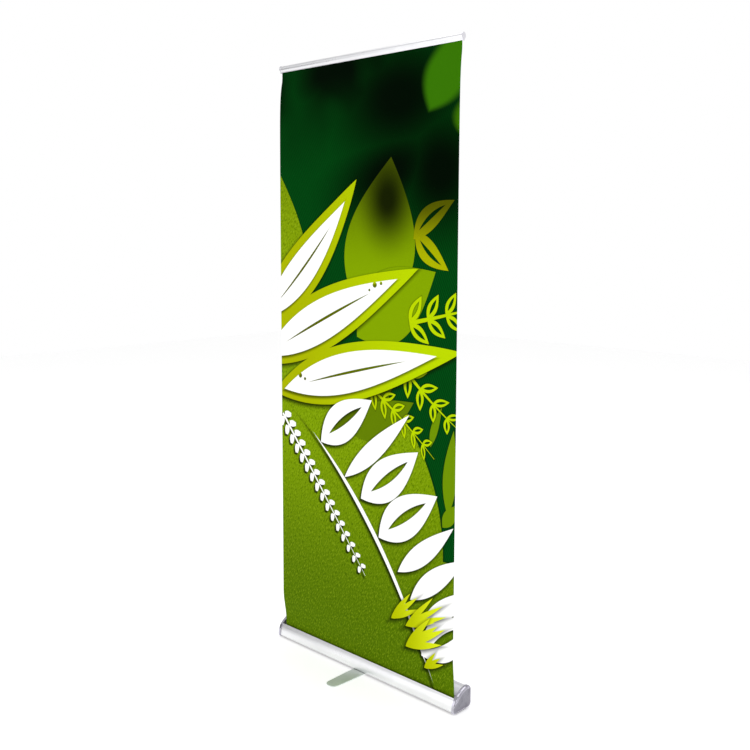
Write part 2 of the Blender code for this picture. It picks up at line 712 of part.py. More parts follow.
def main():
    clear_scene()
    make_housing()
    for side, label in SIDES:
        make_end_plate(side, label)
        make_end_cap(side, label)
        make_end_screws(side, label)
        make_base_pad(side, label)
    make_pole_socket()

    make_roller(axis_empty("roller_axis", (0, ROLLER_Y, ROLLER_Z)))
    make_spring(make_arbor())
    make_bushes()

    make_foot(axis_empty("foot_axis", (0, 0, 0)))
    make_pivot()

    middle_slide = axis_empty("middle_slide", (0, POLE_Y, MIDDLE_SECTION[1]))
    upper_slide = axis_empty("upper_slide", (0, POLE_Y, UPPER_SECTION[1]))
    make_pole_section("pole_lower", LOWER_SECTION)
    make_collar("pole_collar_lower", LOWER_SECTION, MIDDLE_SECTION)
    make_pole_section("pole_middle", MIDDLE_SECTION, middle_slide)
    make_collar("pole_collar_upper", MIDDLE_SECTION, UPPER_SECTION, middle_slide)
    make_pole_section("pole_upper", UPPER_SECTION, upper_slide)
    make_pole_head(upper_slide)

    rail_slide = axis_empty("rail_slide", (0, BANNER_Y, RAIL_Z))
    jaw_axis = axis_empty("jaw_axis", (0, *jaw_hinge()))
    make_rail(rail_slide, jaw_axis)
    for side, label in SIDES:
        make_rail_cap(side, label, rail_slide)
    make_rail_bracket(rail_slide)
    make_banner()


main()
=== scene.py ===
import math

import bmesh
import bpy
from mathutils import Matrix, Vector
from mathutils.geometry import interpolate_bezier


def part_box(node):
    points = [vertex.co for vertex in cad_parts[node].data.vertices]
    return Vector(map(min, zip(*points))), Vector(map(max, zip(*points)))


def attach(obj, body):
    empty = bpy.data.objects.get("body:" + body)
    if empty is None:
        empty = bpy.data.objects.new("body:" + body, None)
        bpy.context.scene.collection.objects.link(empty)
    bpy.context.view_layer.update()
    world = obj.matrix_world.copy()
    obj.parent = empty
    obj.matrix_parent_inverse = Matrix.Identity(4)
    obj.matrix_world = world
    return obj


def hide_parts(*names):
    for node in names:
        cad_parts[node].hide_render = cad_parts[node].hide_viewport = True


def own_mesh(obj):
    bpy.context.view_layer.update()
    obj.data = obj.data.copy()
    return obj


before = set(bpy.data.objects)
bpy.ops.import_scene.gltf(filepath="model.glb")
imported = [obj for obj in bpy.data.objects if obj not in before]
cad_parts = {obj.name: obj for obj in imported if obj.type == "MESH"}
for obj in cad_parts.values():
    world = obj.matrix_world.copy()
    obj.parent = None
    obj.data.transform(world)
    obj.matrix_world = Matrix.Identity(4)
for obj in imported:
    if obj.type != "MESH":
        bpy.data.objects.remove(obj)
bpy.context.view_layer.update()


# View, floor and light. Lengths are in metres, angles in degrees.

viewPoint = {
    "place": (2.139, -2.190, 1.477),
    "turn": 43.88,  # to the left of looking along +Y
    "tiltDown": 6.17,
    "roll": 0.17,
    "lens": 44.64,
    "shiftY": -0.05,
}

studio = {
    "floorHalf": 9.0,
    "floorDrop": 0.0004,
    "floorColour": "F4F4F4",
    "floorLift": 0.40,  # glow that keeps the far floor as bright as the background
    "horizonStrength": 0.92,
    "zenithStrength": 0.50,
    "backdropStrength": 1.0,
    "keyPlace": (-1.5, -3.5, 1.25),
    "keySize": 2.3,
    "keyPower": 11.0,
    "fillPlace": (2.1, -2.3, 2.4),
    "fillSize": 1.1,
    "fillPower": 8.0,
    "overheadPlace": (0.0, 0.0, 5.0),
    "overheadSize": 5.0,
    "overheadPower": 90.0,
    "cards": (  # flags that only bright metal mirrors: name, middle, way it faces, sides, grey
        ("cardBehind", (0.75, 3.2, 0.55), (0, -1, 0), (1.9, 0.9), 0.02),
        ("cardFront", (0.55, -3.4, 0.45), (0, 1, 0), (0.9, 0.6), 0.02),
        ("cardLeft", (-4.6, -2.4, 1.0), (0.8, 0.6, 0), (2.4, 2.4), 0.05),
        # A grey sheet lying on the floor by the right cap, seen only in reflections: painted floor shade
        # in the cap's reflection.
        ("cardFloorShade", (0.64, 0.10, 0.004), (0, 0, 1), (0.43, 0.70), 0.66),
    ),
}


cassette = {
    "frontLip": (-0.0285, 0.0475),
    "front": -0.042,
    "back": 0.040,
    "bottom": 0.006,
    "top": 0.0735,
    "cornerRadius": 0.003,
    # Its outline from lip to lip, as Y and Z of the curves' ends and handles
    "frontHandles": ((-0.037, 0.040), (-0.0418, 0.022)),
    "frontFoot": 0.009,
    "heel": (0.026, 0.036, 0.011, 0.020),
    "hump": (0.053, 0.067, 0.034, 0.023),
    "dip": (0.012, (-0.012, 0.0655)),
}


def ink(hexColour):
    # Screen colour such as "596F02" to the linear red, green, blue, alpha that nodes use
    channels = [int(hexColour[i : i + 2], 16) / 255 for i in (0, 2, 4)]
    linear = [c / 12.92 if c <= 0.04045 else ((c + 0.055) / 1.055) ** 2.4 for c in channels]
    return (*linear, 1.0)


def addCamera():
    data = bpy.data.cameras.new("camera")
    data.lens = viewPoint["lens"]
    data.shift_y = viewPoint["shiftY"]
    camera = bpy.data.objects.new("camera", data)
    camera.location = viewPoint["place"]
    turned = Matrix.Rotation(math.radians(viewPoint["turn"]), 3, "Z")
    turned @= Matrix.Rotation(math.radians(90 - viewPoint["tiltDown"]), 3, "X")
    turned @= Matrix.Rotation(math.radians(viewPoint["roll"]), 3, "Z")
    camera.rotation_euler = turned.to_euler()
    bpy.context.scene.collection.objects.link(camera)
    bpy.context.scene.camera = camera


def addSoftbox(name, place, size, power):
    data = bpy.data.lights.new(name, "AREA")
    data.shape = "SQUARE"
    data.size = size
    data.energy = power
    lamp = bpy.data.objects.new(name, data)
    lamp.location = place
    towards = Vector((0, 0, 0.9)) - Vector(place)
    lamp.rotation_euler = towards.to_track_quat("-Z", "Y").to_euler()
    bpy.context.scene.collection.objects.link(lamp)


def flatSquare(name, sides, height=0.0):
    bm = bmesh.new()
    bmesh.ops.create_grid(bm, x_segments=1, y_segments=1, size=0.5)
    bmesh.ops.scale(bm, verts=bm.verts, vec=(*sides, 1))
    bmesh.ops.translate(bm, verts=bm.verts, vec=(0, 0, height))
    mesh = bpy.data.meshes.new(name)
    bm.to_mesh(mesh)
    bm.free()
    flat = bpy.data.objects.new(name, mesh)
    bpy.context.scene.collection.objects.link(flat)
    return flat


def addStudio():
    world = bpy.data.worlds.new("whiteStudio")
    world.use_nodes = True
    tree = world.node_tree
    seen = addNode(tree, "ShaderNodeLightPath").outputs["Is Camera Ray"]
    way = addNode(tree, "ShaderNodeTexCoord").outputs["Generated"]
    rise = addNode(tree, "ShaderNodeSeparateXYZ", {0: way}).outputs[2]
    sky = fade(tree, rise, 0.05, 0.95, studio["horizonStrength"], studio["zenithStrength"])
    values = {"Value": seen, "To Min": sky, "To Max": studio["backdropStrength"]}
    strength = addNode(tree, "ShaderNodeMapRange", values).outputs[0]
    tree.nodes["Background"].inputs["Color"].default_value = (1, 1, 1, 1)
    tree.links.new(strength, tree.nodes["Background"].inputs["Strength"])
    bpy.context.scene.world = world
    bpy.context.scene.view_settings.view_transform = "Standard"

    for lamp in ("key", "fill", "overhead"):
        addSoftbox(lamp + "Light", *[studio[lamp + part] for part in ("Place", "Size", "Power")])

    side = studio["floorHalf"] * 2
    floor = flatSquare("floor", (side, side), -studio["floorDrop"])
    paper, _, shader = newMaterial("floorPaper")
    shader.inputs["Base Color"].default_value = ink(studio["floorColour"])
    shader.inputs["Roughness"].default_value = 0.9
    shader.inputs["Emission Color"].default_value = (1, 1, 1, 1)
    shader.inputs["Emission Strength"].default_value = studio["floorLift"]
    floor.data.materials.append(paper)
    for card in studio["cards"]:
        addCard(*card)


def addCard(name, middle, facing, sides, grey):
    card = flatSquare(name, sides)
    card.location = middle
    card.rotation_euler = Vector(facing).to_track_quat("Z", "Y").to_euler()
    card.visible_camera = False
    card.visible_diffuse = False
    card.visible_shadow = False
    cloth, _, shader = newMaterial(name)
    shader.inputs["Base Color"].default_value = (grey, grey, grey, 1)
    shader.inputs["Roughness"].default_value = 1.0
    card.data.materials.append(cloth)


# Node helpers


def newMaterial(name):
    material = bpy.data.materials.new(name)
    material.use_nodes = True
    tree = material.node_tree
    return material, tree, tree.nodes["Principled BSDF"]


def feed(tree, socket, value):
    if isinstance(value, bpy.types.NodeSocket):
        tree.links.new(value, socket)
    else:
        socket.default_value = value


def addNode(tree, kind, values=None, **settings):
    node = tree.nodes.new(kind)
    for name, value in settings.items():
        setattr(node, name, value)
    for name, value in (values or {}).items():
        feed(tree, node.inputs[name], value)
    return node


def calc(tree, operation, *values):
    return addNode(tree, "ShaderNodeMath", dict(enumerate(values)), operation=operation).outputs[0]


def plus(tree, first, second):
    return calc(tree, "ADD", first, second)


def minus(tree, first, second):
    return calc(tree, "SUBTRACT", first, second)


def times(tree, first, second):
    return calc(tree, "MULTIPLY", first, second)


def over(tree, first, second):
    return calc(tree, "DIVIDE", first, second)


def least(tree, first, second):
    return calc(tree, "MINIMUM", first, second)


def most(tree, first, second):
    return calc(tree, "MAXIMUM", first, second)


def fade(tree, value, start, end, toStart=0.0, toEnd=1.0):
    # A smooth step from toStart to toEnd as value goes from start to end
    values = {
        "Value": value,
        "From Min": start,
        "From Max": end,
        "To Min": toStart,
        "To Max": toEnd,
    }
    node = addNode(tree, "ShaderNodeMapRange", values, interpolation_type="SMOOTHSTEP")
    return node.outputs[0]


def mixColours(tree, share, first, second):
    values = {0: share, 6: first, 7: second}
    node = addNode(tree, "ShaderNodeMix", values, data_type="RGBA")
    return node.outputs[2]


def shift(tree, point, vector):
    node = addNode(tree, "ShaderNodeVectorMath", {0: point, 1: vector}, operation="ADD")
    return node.outputs[0]


def stretch(tree, point, sizes, turn=(0, 0, 0)):
    values = {"Vector": point, "Scale": sizes, "Rotation": turn}
    return addNode(tree, "ShaderNodeMapping", values).outputs[0]


def noise(tree, point, scale, detail=2.0, roughness=0.5):
    values = {"Vector": point, "Scale": scale, "Detail": detail, "Roughness": roughness}
    return addNode(tree, "ShaderNodeTexNoise", values).outputs[0]


def newGroup(name, inputs, outputs):
    tree = bpy.data.node_groups.new(name, "ShaderNodeTree")
    kinds = {"vector": "NodeSocketVector", "value": "NodeSocketFloat", "colour": "NodeSocketColor"}
    for label, kind, start in inputs:
        socket = tree.interface.new_socket(name=label, in_out="INPUT", socket_type=kinds[kind])
        socket.default_value = start
    for label, kind in outputs:
        tree.interface.new_socket(name=label, in_out="OUTPUT", socket_type=kinds[kind])
    return tree, tree.nodes.new("NodeGroupInput").outputs, tree.nodes.new("NodeGroupOutput")


def place(tree, name, values):
    node = tree.nodes.new("ShaderNodeGroup")
    node.node_tree = bpy.data.node_groups[name]
    for label, value in values.items():
        feed(tree, node.inputs[label], value)
    return node.outputs


# Surface effects that several materials share


def makeFineGrain():
    # Moulded or sprayed skin: a small bump height and a value about 0.5 that varies with it
    inputs = [("Point", "vector", (0, 0, 0)), ("Grain Size", "value", 0.0006)]
    tree, given, result = newGroup("fineGrain", inputs, [("Value", "value"), ("Height", "value")])
    scale = over(tree, 1.0, given["Grain Size"])
    fine = noise(tree, given["Point"], scale, 3.0, 0.6)
    broad = noise(tree, given["Point"], times(tree, scale, 0.09), 2.0)
    both = plus(tree, times(tree, fine, 0.6), times(tree, broad, 0.4))
    feed(tree, result.inputs["Value"], both)
    feed(tree, result.inputs["Height"], fine)


def makeDrawLines():
    # Fine lines that an extrusion die or a polishing belt leaves along a profile
    inputs = [("Point", "vector", (0, 0, 0)), ("Stretch", "vector", (2.0, 900.0, 900.0))]
    outputs = [("Value", "value"), ("Height", "value")]
    tree, given, result = newGroup("drawLines", inputs, outputs)
    stretched = addNode(
        tree,
        "ShaderNodeVectorMath",
        {0: given["Point"], 1: given["Stretch"]},
        operation="MULTIPLY",
    ).outputs[0]
    fine = noise(tree, stretched, 1.0, 3.0, 0.65)
    coarse = noise(tree, stretched, 0.14, 2.0)
    both = plus(tree, times(tree, fine, 0.5), times(tree, coarse, 0.5))
    feed(tree, result.inputs["Value"], both)
    feed(tree, result.inputs["Height"], both)


def makeHandling():
    # Smudges from hands and a little dust, as a soft uneven mask
    inputs = [("Point", "vector", (0, 0, 0)), ("Patch Size", "value", 0.05)]
    tree, given, result = newGroup("handling", inputs, [("Mask", "value")])
    scale = over(tree, 1.0, given["Patch Size"])
    patches = noise(tree, given["Point"], scale, 4.0, 0.62)
    feed(tree, result.inputs["Mask"], fade(tree, patches, 0.38, 0.72))


def makeScratches():
    # Thin crossing hairlines on plated and painted metal
    inputs = [("Point", "vector", (0, 0, 0)), ("Spacing", "value", 0.012)]
    tree, given, result = newGroup("scratches", inputs, [("Mask", "value")])
    scale = over(tree, 1.0, given["Spacing"])
    marks = None
    for turn, longSide in (((0.3, 0.5, 0.7), 0.06), ((1.1, 0.2, 2.1), 0.05)):
        lain = stretch(tree, given["Point"], (longSide, 1.0, 1.0), turn)
        values = {"Vector": lain, "Scale": scale, "Detail": 1.0, "Distortion": 0.15}
        lines = addNode(tree, "ShaderNodeTexNoise", values).outputs[0]
        away = calc(tree, "ABSOLUTE", minus(tree, lines, 0.5))
        line = fade(tree, away, 0.006, 0.0)
        marks = line if marks is None else most(tree, marks, line)
    kept = noise(tree, given["Point"], times(tree, scale, 0.7), 1.0)
    feed(tree, result.inputs["Mask"], times(tree, marks, fade(tree, kept, 0.5, 0.65)))


def dress(tree, shader, colour, dull, metallic):
    feed(tree, shader.inputs["Base Color"], colour)
    feed(tree, shader.inputs["Roughness"], dull)
    feed(tree, shader.inputs["Metallic"], metallic)


def bumpInto(tree, shader, height, distance):
    values = {"Height": height, "Distance": distance, "Strength": 1.0}
    bump = addNode(tree, "ShaderNodeBump", values)
    tree.links.new(bump.outputs[0], shader.inputs["Normal"])


def objectPoint(tree):
    return tree.nodes.new("ShaderNodeTexCoord").outputs["Object"]


# Finishes


def anodised(name, lengthways, shadedBelow=None):
    # Satin silver extrusion; lengthways is the axis that its draw lines follow.
    # Below the height shadedBelow its colour is painted dark red-grey: painted shade along the edge next
    # to the floor.
    material, tree, shader = newMaterial(name)
    point = objectPoint(tree)
    along = [1600.0, 1600.0, 1600.0]
    along["XYZ".index(lengthways)] = 3.0
    lines = place(tree, "drawLines", {"Point": point, "Stretch": along})
    smudge = place(tree, "handling", {"Point": point, "Patch Size": 0.09})["Mask"]
    tone = mixColours(tree, lines["Value"], ink("E2E2E5"), ink("F8F8FA"))
    tone = mixColours(tree, times(tree, smudge, 0.25), tone, ink("D6D7DA"))
    if shadedBelow:
        # Painted shade: the colour turns dark below shadedBelow, standing in for the shade under the
        # bottom edge.
        height = addNode(tree, "ShaderNodeSeparateXYZ", {0: point}).outputs[2]
        paintedShade = fade(tree, height, shadedBelow, shadedBelow - 0.0018)
        tone = mixColours(tree, paintedShade, tone, ink("4E4444"))
    dull = plus(tree, 0.22, times(tree, lines["Value"], 0.12))
    dull = plus(tree, dull, times(tree, smudge, 0.05))
    dress(tree, shader, tone, dull, 1.0)
    bumpInto(tree, shader, lines["Height"], 0.00002)
    return material


def platedPlastic(name, pale, deep):
    # Bright chrome over moulded caps, slightly wavy, with hairlines and smudges
    material, tree, shader = newMaterial(name)
    point = objectPoint(tree)
    smudge = place(tree, "handling", {"Point": point, "Patch Size": 0.02})["Mask"]
    hairs = place(tree, "scratches", {"Point": point, "Spacing": 0.006})["Mask"]
    tone = mixColours(tree, smudge, ink(pale), ink(deep))
    tone = mixColours(tree, hairs, tone, ink("E4E3E8"))
    dull = plus(tree, 0.10, times(tree, smudge, 0.10))
    dull = plus(tree, dull, times(tree, hairs, 0.15))
    dress(tree, shader, tone, dull, 1.0)
    skin = place(tree, "fineGrain", {"Point": point, "Grain Size": 0.004})["Height"]
    bumpInto(tree, shader, skin, 0.00006)
    return material


def footCoat():
    # Thin satin silver-green coat on the steel blade
    material, tree, shader = newMaterial("footCoat")
    point = objectPoint(tree)
    grain = place(tree, "fineGrain", {"Point": point, "Grain Size": 0.0009})
    smudge = place(tree, "handling", {"Point": point, "Patch Size": 0.03})["Mask"]
    hairs = place(tree, "scratches", {"Point": point, "Spacing": 0.010})["Mask"]
    tone = mixColours(tree, grain["Value"], ink("D6DED9"), ink("E2E9E5"))
    tone = mixColours(tree, times(tree, smudge, 0.4), tone, ink("CCD6D0"))
    tone = mixColours(tree, hairs, tone, ink("DDE2DF"))
    dull = plus(tree, 0.30, times(tree, grain["Value"], 0.14))
    dress(tree, shader, tone, dull, 0.35)
    bumpInto(tree, shader, grain["Height"], 0.00003)
    return material


def zincPlate():
    # Zinc plated steel, with the cloudy spangle that plating leaves
    material, tree, shader = newMaterial("zincPlate")
    point = objectPoint(tree)
    cloud = place(tree, "handling", {"Point": point, "Patch Size": 0.008})["Mask"]
    hairs = place(tree, "scratches", {"Point": point, "Spacing": 0.005})["Mask"]
    tone = mixColours(tree, cloud, ink("C6C8CA"), ink("AEB1B4"))
    tone = mixColours(tree, hairs, tone, ink("E0E1E2"))
    dull = plus(tree, 0.28, times(tree, cloud, 0.18))
    dress(tree, shader, tone, dull, 1.0)
    bumpInto(tree, shader, hairs, -0.00001)
    return material


def moulded(name, dark, light, dullest, grainSize, sheen=0.5):
    # Plain moulded plastic, nylon or rubber
    material, tree, shader = newMaterial(name)
    point = objectPoint(tree)
    grain = place(tree, "fineGrain", {"Point": point, "Grain Size": grainSize})
    dust = place(tree, "handling", {"Point": point, "Patch Size": 0.012})["Mask"]
    tone = mixColours(tree, grain["Value"], ink(dark), ink(light))
    tone = mixColours(tree, times(tree, dust, 0.12), tone, ink("8C8C8A"))
    tree.links.new(tone, shader.inputs["Base Color"])
    dull = minus(tree, dullest, times(tree, grain["Value"], 0.12))
    tree.links.new(dull, shader.inputs["Roughness"])
    shader.inputs["Specular IOR Level"].default_value = sheen
    bumpInto(tree, shader, grain["Height"], 0.00004)
    return material


# The print. Its patterns read the film's own plane: first number across, second number up from the floor.


leafForm = {
    "taper": 0.28,  # how much slimmer a leaf is towards its tip
    "slitEnds": 2.4,  # more makes the slit shorter
}

sprigForm = {
    "stemStart": 1.15,  # the stem's width at its foot, in stem widths
    "stemShare": 0.32,  # one stem width, as a share of a leaf's
    "cellStart": 0.3,  # how far before its joint a leaf may reach, in pitches
    "shrink": 0.42,  # how much smaller the leaves are at the tip
    "smallest": 0.1,
    "leafMiddle": 1.02,
    "taper": 0.25,
    "slitEnds": 2.6,
    "firstLeaf": 0.001,
    "lastLeaf": 0.97,
    "cutSteepness": 50.0,
}


def makeLeafShape():
    # How far inside a pointed leaf a point is, in metres, and how far inside the slit along its rib
    inputs = [
        ("Point", "vector", (0, 0, 0)),
        ("Middle", "vector", (0, 0, 0)),
        ("Turn", "vector", (0, 0, 0)),
        ("Half Size", "vector", (0.1, 0.03, 1.0)),
        ("Bend", "value", 0.0),
        ("Slit Share", "value", 0.0),
    ]
    tree, given, result = newGroup("leafShape", inputs, [("Inside", "value"), ("Slit", "value")])
    values = {
        "Vector": given["Point"],
        "Location": given["Middle"],
        "Rotation": given["Turn"],
        "Scale": given["Half Size"],
    }
    local = addNode(tree, "ShaderNodeMapping", values, vector_type="TEXTURE").outputs[0]
    parts = addNode(tree, "ShaderNodeSeparateXYZ", {0: local}).outputs
    halfWidth = addNode(tree, "ShaderNodeSeparateXYZ", {0: given["Half Size"]}).outputs[1]
    along, across = parts[0], parts[1]
    squared = times(tree, along, along)
    bow = minus(tree, 1.0, squared)
    away = calc(tree, "ABSOLUTE", minus(tree, across, times(tree, bow, given["Bend"])))
    tapered = times(tree, least(tree, along, 1.0), leafForm["taper"])
    width = times(tree, bow, minus(tree, 1.0, tapered))
    inside = times(tree, minus(tree, width, away), halfWidth)
    shorter = minus(tree, 1.0, times(tree, squared, leafForm["slitEnds"]))
    slitWidth = times(tree, shorter, given["Slit Share"])
    slit = times(tree, minus(tree, slitWidth, away), halfWidth)
    feed(tree, result.inputs["Inside"], inside)
    feed(tree, result.inputs["Slit"], slit)


def makeSprigShape():
    # A stem with leaves in pairs that get smaller towards its tip
    inputs = [
        ("Point", "vector", (0, 0, 0)),
        ("Base", "vector", (0, 0, 0)),
        ("Turn", "vector", (0, 0, 0)),
        ("Length", "value", 0.4),
        ("Pitch", "value", 0.05),
        ("Half Leaf", "value", 0.036),
        ("Half Width", "value", 0.014),
        ("Lean", "value", 0.85),
        ("Curve", "value", 0.0),
        ("Slit Share", "value", 0.3),
    ]
    tree, given, result = newGroup("sprigShape", inputs, [("Inside", "value")])
    values = {"Vector": given["Point"], "Location": given["Base"], "Rotation": given["Turn"]}
    local = addNode(tree, "ShaderNodeMapping", values, vector_type="TEXTURE").outputs[0]
    parts = addNode(tree, "ShaderNodeSeparateXYZ", {0: local}).outputs
    along = parts[0]
    sag = times(tree, times(tree, along, along), given["Curve"])
    away = calc(tree, "ABSOLUTE", minus(tree, parts[1], sag))
    share = over(tree, along, given["Length"])
    stemWidth = times(tree, given["Half Width"], sprigForm["stemShare"])
    stem = minus(tree, times(tree, minus(tree, sprigForm["stemStart"], share), stemWidth), away)
    ends = least(tree, along, minus(tree, given["Length"], along))
    union = least(tree, stem, ends)
    cosLean = calc(tree, "COSINE", given["Lean"])
    sinLean = calc(tree, "SINE", given["Lean"])
    cell = plus(tree, over(tree, along, given["Pitch"]), sprigForm["cellStart"])
    cell = calc(tree, "FLOOR", cell)
    for back in (0.0, 1.0):
        start = times(tree, minus(tree, cell, back), given["Pitch"])
        shrunk = times(tree, over(tree, start, given["Length"]), sprigForm["shrink"])
        size = most(tree, minus(tree, 1.0, shrunk), sprigForm["smallest"])
        ahead = minus(tree, along, start)
        outward = plus(tree, times(tree, ahead, cosLean), times(tree, away, sinLean))
        sideways = minus(tree, times(tree, away, cosLean), times(tree, ahead, sinLean))
        middle = times(tree, times(tree, given["Half Leaf"], sprigForm["leafMiddle"]), size)
        x = over(tree, minus(tree, outward, middle), times(tree, given["Half Leaf"], size))
        halfWidth = times(tree, given["Half Width"], size)
        y = calc(tree, "ABSOLUTE", over(tree, sideways, halfWidth))
        square = times(tree, x, x)
        tapered = times(tree, least(tree, x, 1.0), sprigForm["taper"])
        width = times(tree, minus(tree, 1.0, square), minus(tree, 1.0, tapered))
        shorter = minus(tree, 1.0, times(tree, square, sprigForm["slitEnds"]))
        slit = minus(tree, times(tree, shorter, given["Slit Share"]), y)
        one = least(tree, minus(tree, width, y), times(tree, slit, -1.0))
        one = times(tree, one, halfWidth)
        toTip = minus(tree, times(tree, given["Length"], sprigForm["lastLeaf"]), start)
        onStem = least(tree, plus(tree, start, sprigForm["firstLeaf"]), toTip)
        one = least(tree, one, times(tree, onStem, sprigForm["cutSteepness"]))
        union = most(tree, union, one)
    feed(tree, result.inputs["Inside"], union)


def makePaperLayer():
    # Lays a cut paper shape over what is under it, with its soft shadow
    inputs = [
        ("Under", "colour", (0, 0, 0, 1)),
        ("Inside", "value", 0.0),
        ("Shadow Inside", "value", 0.0),
        ("Colour", "colour", (1, 1, 1, 1)),
        ("Shadow Reach", "value", 0.012),
        ("Shadow Depth", "value", 0.8),
    ]
    tree, given, result = newGroup("paperLayer", inputs, [("Colour", "colour")])
    far = times(tree, given["Shadow Reach"], -1.0)
    near = times(tree, given["Shadow Reach"], 0.45)
    shadow = times(tree, fade(tree, given["Shadow Inside"], far, near), given["Shadow Depth"])
    shaded = mixColours(tree, shadow, given["Under"], ink("061200"))
    cover = fade(tree, given["Inside"], -0.0005, 0.0005)
    feed(tree, result.inputs["Colour"], mixColours(tree, cover, shaded, given["Colour"]))


def leaf(tree, point, base, tip, halfWidth, bend=0.0, slit=0.0):
    # Inside measure of one leaf from base to tip, less its slit
    base, tip = Vector(base), Vector(tip)
    way = tip - base
    values = {
        "Point": point,
        "Middle": (*((base + tip) / 2), 0),
        "Turn": (0, 0, math.atan2(way.y, way.x)),
        "Half Size": (way.length / 2, halfWidth, 1.0),
        "Bend": bend,
        "Slit Share": slit,
    }
    found = place(tree, "leafShape", values)
    if not slit:
        return found["Inside"]
    return least(tree, found["Inside"], times(tree, found["Slit"], -1.0))


def leaves(tree, point, shapes):
    union = None
    for shape in shapes:
        one = leaf(tree, point, *shape)
        union = one if union is None else most(tree, union, one)
    return union


def sprig(tree, point, shape, slit):
    base, turn, length, pitch, halfLeaf, halfWidth, curve = shape
    values = {
        "Point": point,
        "Base": (*base, 0),
        "Turn": (0, 0, math.radians(turn)),
        "Length": length,
        "Pitch": pitch,
        "Half Leaf": halfLeaf,
        "Half Width": halfWidth,
        "Curve": curve,
        "Slit Share": slit,
    }
    return place(tree, "sprigShape", values)["Inside"]


def disc(tree, point, centre, radius):
    away = addNode(tree, "ShaderNodeVectorMath", {0: point, 1: (*centre, 0)}, operation="DISTANCE")
    return minus(tree, radius, away.outputs["Value"])


def glow(tree, point, centre, halfSize, turn=0.0):
    # A soft round patch, 1 in its middle and 0 past its edge
    values = {
        "Vector": point,
        "Location": (*centre, 0),
        "Rotation": (0, 0, math.radians(turn)),
        "Scale": (*halfSize, 1),
    }
    local = addNode(tree, "ShaderNodeMapping", values, vector_type="TEXTURE").outputs[0]
    ball = addNode(tree, "ShaderNodeTexGradient", {0: local}, gradient_type="SPHERICAL").outputs[1]
    return fade(tree, ball, 0.0, 0.9)


def lay(tree, under, inside, colour, shade=None, reach=0.012, depth=0.8):
    values = {
        "Under": under,
        "Inside": inside,
        "Shadow Inside": inside if shade is None else shade,
        "Colour": colour,
        "Shadow Reach": reach,
        "Shadow Depth": depth,
    }
    return place(tree, "paperLayer", values)["Colour"]


